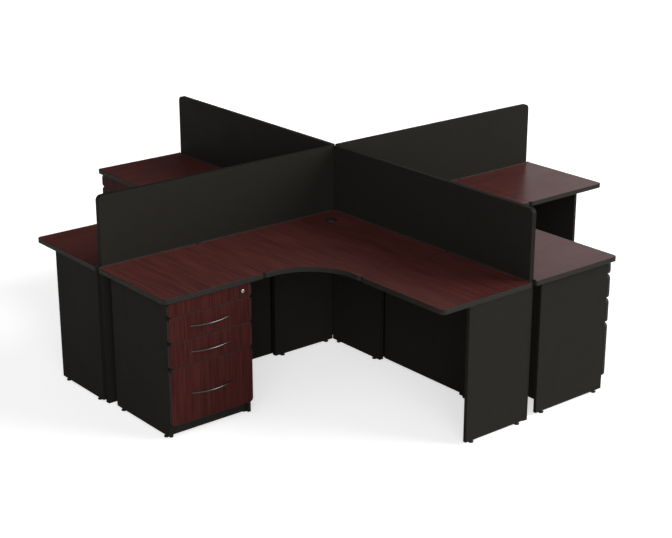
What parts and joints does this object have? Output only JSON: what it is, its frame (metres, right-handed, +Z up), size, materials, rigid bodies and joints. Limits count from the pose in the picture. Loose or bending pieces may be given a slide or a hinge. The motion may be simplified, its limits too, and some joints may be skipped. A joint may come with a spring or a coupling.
{
  "type": "four-person workstation",
  "caption": "L-shaped desks around a cross of divider panels, each with a drawer pedestal, bow pulls, a lock and a cable outlet.",
  "frame": {"origin": "on the floor, under the centre where the four divider panels meet", "axes": "+Z up; +X along one divider panel and +Y along the next; the station named front lies at +X, -Y, right at +X, +Y, back at -X, +Y and left at -X, -Y"},
  "size_m": [3.08, 3.08, 1.12],
  "materials": {
    "mahogany_laminate": "low gloss wood-grain laminate",
    "mahogany_front": "low gloss wood-grain laminate",
    "charcoal_laminate": "fine grained matt laminate",
    "edge_band": "satin edge band",
    "satin_metal": "satin",
    "bright_metal": "polished",
    "runner_steel": "powder coated",
    "foot_plastic": "moulded",
    "grommet_plastic": "moulded"
  },
  "bodies": {
    "root": {"front_pedestal_top": "mahogany_laminate", "front_corner_top": "mahogany_laminate", "front_return_top": "mahogany_laminate", "front_end_gable": "charcoal_laminate", "front_pedestal_case": "charcoal_laminate", "right_pedestal_top": "mahogany_laminate", "right_corner_top": "mahogany_laminate", "right_return_top": "mahogany_laminate", "right_end_gable": "charcoal_laminate", "right_pedestal_case": "charcoal_laminate", "back_pedestal_top": "mahogany_laminate", "back_corner_top": "mahogany_laminate", "back_return_top": "mahogany_laminate", "back_end_gable": "charcoal_laminate", "back_pedestal_case": "charcoal_laminate", "left_pedestal_top": "mahogany_laminate", "left_corner_top": "mahogany_laminate", "left_return_top": "mahogany_laminate", "left_end_gable": "charcoal_laminate", "left_pedestal_case": "charcoal_laminate", "front_right_divider": "charcoal_laminate", "back_right_divider": "charcoal_laminate", "back_left_divider": "charcoal_laminate", "front_left_divider": "charcoal_laminate", "corner_back_panels": "charcoal_laminate", "wing_back_panels": "charcoal_laminate", "levelling_feet": "foot_plastic", "grommets": "grommet_plastic", "lock_rails": "mahogany_front", "lock_housings": "bright_metal", "drawer_runners": "runner_steel", "edge_bands": "edge_band"},
    "front_upper_drawer_body": {"front_upper_drawer": "mahogany_front", "front_upper_pull": "satin_metal"},
    "front_middle_drawer_body": {"front_middle_drawer": "mahogany_front", "front_middle_pull": "satin_metal"},
    "front_file_drawer_body": {"front_file_drawer": "mahogany_front", "front_file_pull": "satin_metal"},
    "front_lock_body": {"front_lock": "bright_metal"},
    "right_upper_drawer_body": {"right_upper_drawer": "mahogany_front", "right_upper_pull": "satin_metal"},
    "right_middle_drawer_body": {"right_middle_drawer": "mahogany_front", "right_middle_pull": "satin_metal"},
    "right_file_drawer_body": {"right_file_drawer": "mahogany_front", "right_file_pull": "satin_metal"},
    "right_lock_body": {"right_lock": "bright_metal"},
    "back_upper_drawer_body": {"back_upper_drawer": "mahogany_front", "back_upper_pull": "satin_metal"},
    "back_middle_drawer_body": {"back_middle_drawer": "mahogany_front", "back_middle_pull": "satin_metal"},
    "back_file_drawer_body": {"back_file_drawer": "mahogany_front", "back_file_pull": "satin_metal"},
    "back_lock_body": {"back_lock": "bright_metal"},
    "left_upper_drawer_body": {"left_upper_drawer": "mahogany_front", "left_upper_pull": "satin_metal"},
    "left_middle_drawer_body": {"left_middle_drawer": "mahogany_front", "left_middle_pull": "satin_metal"},
    "left_file_drawer_body": {"left_file_drawer": "mahogany_front", "left_file_pull": "satin_metal"},
    "left_lock_body": {"left_lock": "bright_metal"}
  },
  "joints": [
    {"name": "front_upper_drawer_slide", "type": "slide", "parent": "root", "child": "front_upper_drawer_body", "axis": [1, 0, 0], "range_m": [0, 0.38]},
    {"name": "front_middle_drawer_slide", "type": "slide", "parent": "root", "child": "front_middle_drawer_body", "axis": [1, 0, 0], "range_m": [0, 0.38]},
    {"name": "front_file_drawer_slide", "type": "slide", "parent": "root", "child": "front_file_drawer_body", "axis": [1, 0, 0], "range_m": [0, 0.38]},
    {"name": "front_lock_turn", "type": "hinge", "parent": "root", "child": "front_lock_body", "pos_m": [0.6, -1.072, 0.684], "axis": [-1, 0, 0], "range_deg": [0, 90]},
    {"name": "right_upper_drawer_slide", "type": "slide", "parent": "root", "child": "right_upper_drawer_body", "axis": [0, 1, 0], "range_m": [0, 0.38]},
    {"name": "right_middle_drawer_slide", "type": "slide", "parent": "root", "child": "right_middle_drawer_body", "axis": [0, 1, 0], "range_m": [0, 0.38]},
    {"name": "right_file_drawer_slide", "type": "slide", "parent": "root", "child": "right_file_drawer_body", "axis": [0, 1, 0], "range_m": [0, 0.38]},
    {"name": "right_lock_turn", "type": "hinge", "parent": "root", "child": "right_lock_body", "pos_m": [1.072, 0.6, 0.684], "axis": [0, -1, 0], "range_deg": [0, 90]},
    {"name": "back_upper_drawer_slide", "type": "slide", "parent": "root", "child": "back_upper_drawer_body", "axis": [-1, 0, 0], "range_m": [0, 0.38]},
    {"name": "back_middle_drawer_slide", "type": "slide", "parent": "root", "child": "back_middle_drawer_body", "axis": [-1, 0, 0], "range_m": [0, 0.38]},
    {"name": "back_file_drawer_slide", "type": "slide", "parent": "root", "child": "back_file_drawer_body", "axis": [-1, 0, 0], "range_m": [0, 0.38]},
    {"name": "back_lock_turn", "type": "hinge", "parent": "root", "child": "back_lock_body", "pos_m": [-0.6, 1.072, 0.684], "axis": [1, 0, 0], "range_deg": [0, 90]},
    {"name": "left_upper_drawer_slide", "type": "slide", "parent": "root", "child": "left_upper_drawer_body", "axis": [0, -1, 0], "range_m": [0, 0.38]},
    {"name": "left_middle_drawer_slide", "type": "slide", "parent": "root", "child": "left_middle_drawer_body", "axis": [0, -1, 0], "range_m": [0, 0.38]},
    {"name": "left_file_drawer_slide", "type": "slide", "parent": "root", "child": "left_file_drawer_body", "axis": [0, -1, 0], "range_m": [0, 0.38]},
    {"name": "left_lock_turn", "type": "hinge", "parent": "root", "child": "left_lock_body", "pos_m": [-1.072, -0.6, 0.684], "axis": [0, 1, 0], "range_deg": [0, 90]}
  ]
}
